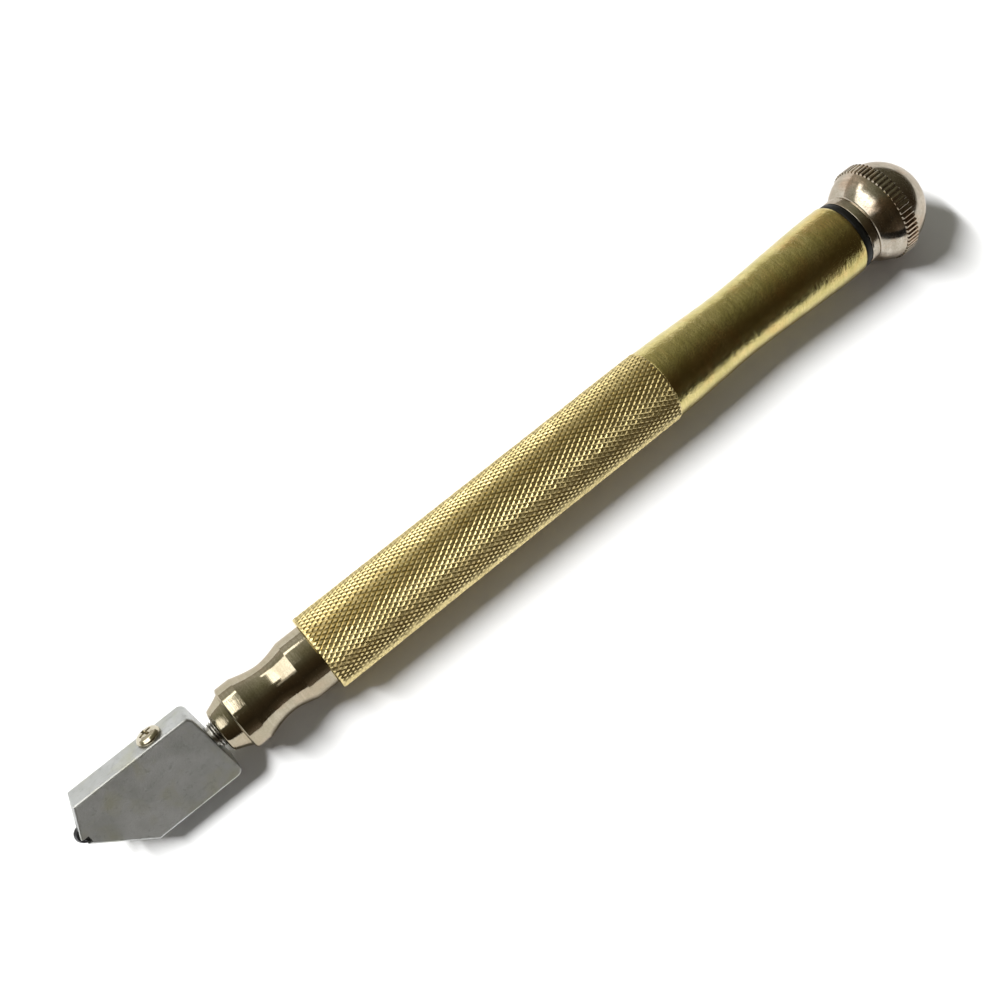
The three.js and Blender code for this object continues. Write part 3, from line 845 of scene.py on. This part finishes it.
def floor():
    """A pale floor, tilted so that both the ball and the head's lowest edge rest on it."""
    ball_foot = Vector((sx(160), 0, AXIS_Z - BAND_R * MM))
    head_foot = Vector((sx(HEAD_FOOT), 0, AXIS_Z - HEAD_FOOT_DROP * MM))
    slope = (head_foot.z - ball_foot.z) / (head_foot.x - ball_foot.x)
    points = [(x, y, ball_foot.z + (x - ball_foot.x) * slope - FLOOR_GAP)
              for x in (-FLOOR_HALF, FLOOR_HALF) for y in (-FLOOR_HALF, FLOOR_HALF)]
    mesh = bpy.data.meshes.new("floor")
    mesh.from_pydata(points, [], [(0, 2, 3, 1)])
    obj = placed("floor", mesh)
    material, tree, shader, coords = nodes_of("white_paper")
    grain = noise(tree, coords, 220, 3, 0.5)
    tree.links.new(ramp(tree, grain, [(0.3, (0.872, 0.876, 0.88)), (0.7, (0.88, 0.884, 0.888))]),
                   shader.inputs["Base Color"])
    shader.inputs["Roughness"].default_value = 0.9
    shader.inputs["Specular IOR Level"].default_value = 0.1
    mesh.materials.append(material)


floor()


def dark_card():
    """A low black card beside the barrel, which only reflections show: it paints dark shade into
    the metal's reflections.
    """
    (x0, y0, z0), (x1, y1, z1) = CARD_LOW, CARD_HIGH
    points = [(x, y, z) for y in (y0, y1) for x, z in ((x0, z0), (x1, z0), (x1, z1), (x0, z1))]
    faces = [(3, 2, 1, 0), (4, 5, 6, 7)]
    faces += [(i, (i + 1) % 4, 4 + (i + 1) % 4, 4 + i) for i in range(4)]
    mesh = bpy.data.meshes.new("dark_card")
    mesh.from_pydata(points, [], faces)
    mesh.materials.append(RUBBER)
    obj = placed("dark_card", mesh)
    obj.visible_camera = False
    obj.visible_diffuse = False
    obj.visible_shadow = False


# Painted reflection: a black card that only glossy rays see darkens the metal's reflection of the
# floor beside the tool
dark_card()


def area(name, place, target, size, radiance, colour, receivers):
    """A rectangular light that reaches only the objects in one collection."""
    data = bpy.data.lights.new(name, "AREA")
    data.shape = "RECTANGLE"
    data.size, data.size_y = size
    data.energy = radiance * math.pi * size[0] * size[1]
    data.color = colour
    obj = placed(name, data)
    obj.location = place
    back = (Vector(place) - Vector(target)).normalized()
    side = Vector((0, 1, 0)).cross(back).normalized()
    obj.rotation_euler = Matrix((side, back.cross(side), back)).transposed().to_euler()
    obj.light_linking.receiver_collection = receivers


lit_floor = bpy.data.collections.new("lit_floor")
lit_tool = bpy.data.collections.new("lit_tool")
lit_head = bpy.data.collections.new("lit_head")
lit_head.objects.link(bpy.data.objects["head_plate"])
lit_floor.objects.link(bpy.data.objects["floor"])
for obj in bpy.data.objects:
    if obj.type == "MESH" and obj.name not in ("floor", "dark_card"):
        lit_tool.objects.link(obj)

DAYLIGHT = (1, 0.985, 0.95)
PANE_Z = 0.32
# The panes of a window over the tool: low X, high X, low Y and high Y in metres, and radiance
PANES = {
    "window_front": (-0.17, -0.075, 0.005, 0.22, 3.4),
    "window_front_dim": (-0.075, -0.035, 0.02, 0.34, 0.2),
    "window_side": (-0.17, -0.082, 0.22, 0.50, 3.0),
    "window_side_far": (-0.082, 0.0, 0.38, 0.53, 3.0),
    "window_left": (-0.42, -0.17, -0.06, 0.45, 2.2),
    "window_low_dim": (-0.36, -0.10, -0.10, -0.06, 0.6),
}
for name, (x0, x1, y0, y1, radiance) in PANES.items():
    x, y = (x0 + x1) / 2, (y0 + y1) / 2
    area(name, (x, y, PANE_Z), (x, y, 0), (x1 - x0, y1 - y0), radiance, DAYLIGHT, lit_tool)
area("head_fill", (-0.08, -0.50, 0.20), (-0.08, 0, 0), (0.8, 0.4), 0.2, (1, 1, 0.97), lit_head)
beam = Vector((-0.65, 0.49, 1)).normalized() * 5
area("floor_key", beam, (0, 0, 0), (0.325, 2.1), 178, (1, 1, 1), lit_floor)
area("floor_fill", (0, -0.2, 1.2), (0, 0, 0), (1.8, 1.8), 0.16, (0.70, 0.77, 1), lit_floor)


def room():
    """What the metal reflects: pale toward +Y and low down, dark overhead, toward -Y and +X.

    The camera itself sees a pale backdrop.
    """
    world = bpy.data.worlds.new("room")
    bpy.context.scene.world = world
    world.use_nodes = True
    tree = world.node_tree
    tree.nodes.clear()
    out = tree.nodes.new("ShaderNodeOutputWorld")
    sky = tree.nodes.new("ShaderNodeBackground")
    direction = tree.nodes.new("ShaderNodeTexCoord").outputs["Generated"]
    split = tree.nodes.new("ShaderNodeSeparateXYZ")
    tree.links.new(direction, split.inputs["Vector"])
    height, side, along = split.outputs["Z"], split.outputs["Y"], split.outputs["X"]
    base = ramp(tree, span(tree, side, -1, 1, 0, 1), [
        (0.0, (0.18, 0.15, 0.12)), (0.03, (0.07, 0.055, 0.035)), (0.12, (0.035, 0.026, 0.015)),
        (0.24, (0.055, 0.04, 0.022)), (0.35, (0.075, 0.06, 0.034)), (0.5, (0.14, 0.13, 0.085)),
        (0.66, (0.22, 0.215, 0.14)), (0.81, (0.36, 0.355, 0.27)), (0.93, (0.44, 0.43, 0.35)),
        (0.985, (0.70, 0.68, 0.62)), (1.0, (0.80, 0.78, 0.72)),
    ])
    glow = times(tree, span(tree, side, -0.6, 0.2, 0, 1), span(tree, height, 0.05, 0.35, 1, 0))
    glow = times(tree, glow, span(tree, along, 0.1, 0.7, 1, 0.1))
    lit = blend(tree, glow, base, (0.50, 0.47, 0.41))
    lit = blend(tree, span(tree, along, 0.25, 0.75, 0, 0.65), lit, (0.045, 0.034, 0.022))
    seen = tree.nodes.new("ShaderNodeLightPath").outputs["Is Camera Ray"]
    tree.links.new(blend(tree, seen, lit, (0.93, 0.93, 0.92)), sky.inputs["Color"])
    sky.inputs["Strength"].default_value = 1.0
    tree.links.new(sky.outputs["Background"], out.inputs["Surface"])


room()

# ------------------------------------------------------------------ camera

# Fitted to the photograph in the head's axes, in millimetres from the nose
CAMERA_PLACE = Vector((37.057, 104.185, 195.152))
CAMERA_RIGHT = Vector((0.98187, 0.08250, 0.17064))
CAMERA_UP = Vector((0.00640, 0.88520, -0.46520))
CAMERA_BACK = CAMERA_RIGHT.cross(CAMERA_UP)
IMAGE_ROLL = math.radians(38)
IMAGE_PX, FOCAL_PX, SENSOR_MM = 1000, 1442.2, 36

data = bpy.data.cameras.new("camera")
data.sensor_width = SENSOR_MM
data.lens = FOCAL_PX * SENSOR_MM / IMAGE_PX
data.clip_start = 0.01
camera = placed("camera", data)
head_turn = Matrix.Rotation(HEAD_ROLL, 3, "X")
right = CAMERA_RIGHT * math.cos(IMAGE_ROLL) - CAMERA_UP * math.sin(IMAGE_ROLL)
up = CAMERA_RIGHT * math.sin(IMAGE_ROLL) + CAMERA_UP * math.cos(IMAGE_ROLL)
turn = head_turn @ Matrix((right, up, CAMERA_BACK)).transposed()
place = head_turn @ CAMERA_PLACE * MM
camera.matrix_world = Matrix.Translation(
    (place.x + sx(0), place.y, place.z + AXIS_Z)) @ turn.to_4x4()
bpy.context.scene.camera = camera

bpy.context.scene.view_settings.view_transform = "Standard"
bpy.context.scene.view_settings.look = "None"
